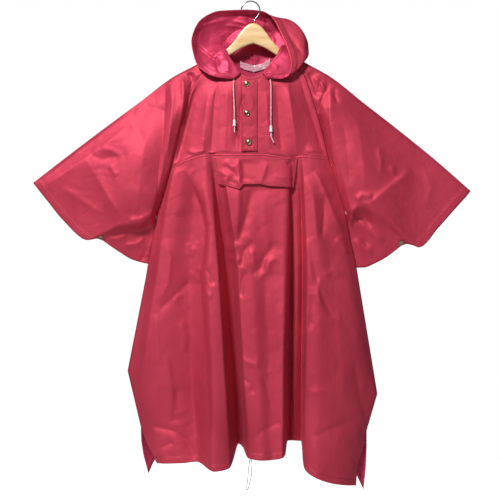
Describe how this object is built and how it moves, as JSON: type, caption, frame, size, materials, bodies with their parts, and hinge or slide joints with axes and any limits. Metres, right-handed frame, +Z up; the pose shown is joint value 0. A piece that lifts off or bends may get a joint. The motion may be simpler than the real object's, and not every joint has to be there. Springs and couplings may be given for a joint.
{
  "type": "rain poncho on a wooden hanger",
  "caption": "Hooded rain poncho of coated nylon with short wide sleeves, snap placket and drawstring hood, hung open at neck, cuffs and hem on a wooden hanger.",
  "frame": {"origin": "the seat of the hanger's hook, inside the top of its bend, where a rail or a nail carries it", "axes": "+Z up along the garment, -Y towards the viewer of its front, +X to that viewer's right"},
  "size_m": [1.182, 0.1364, 1.3212],
  "materials": {
    "nylon_face": "satin",
    "nylon_inner": "satin",
    "neck_tape": "satin",
    "snap_brass": "satin",
    "drawstring": "matte",
    "toggle": "gloss",
    "tie": "matte",
    "hanger_wood": "satin",
    "hook_wire": "polished"
  },
  "bodies": {
    "root": {"front_yoke_left": "nylon_face", "front_yoke_right": "nylon_face", "placket_underlap": "nylon_face", "placket": "nylon_face", "front_skirt": "nylon_face", "pocket_flap": "nylon_face", "sleeve_left": "nylon_face", "sleeve_right": "nylon_face", "back_panel": "nylon_inner", "hood": "nylon_inner", "neck_tape": "neck_tape", "snap_top": "snap_brass", "snap_middle": "snap_brass", "snap_bottom": "snap_brass", "snap_sleeve_left": "snap_brass", "snap_sleeve_right": "snap_brass", "drawstring_left": "drawstring", "drawstring_right": "drawstring", "toggle_left": "toggle", "toggle_right": "toggle", "tie_loop": "tie", "hanger_wood": "hanger_wood", "hanger_hook": "hook_wire"}
  },
  "joints": []
}
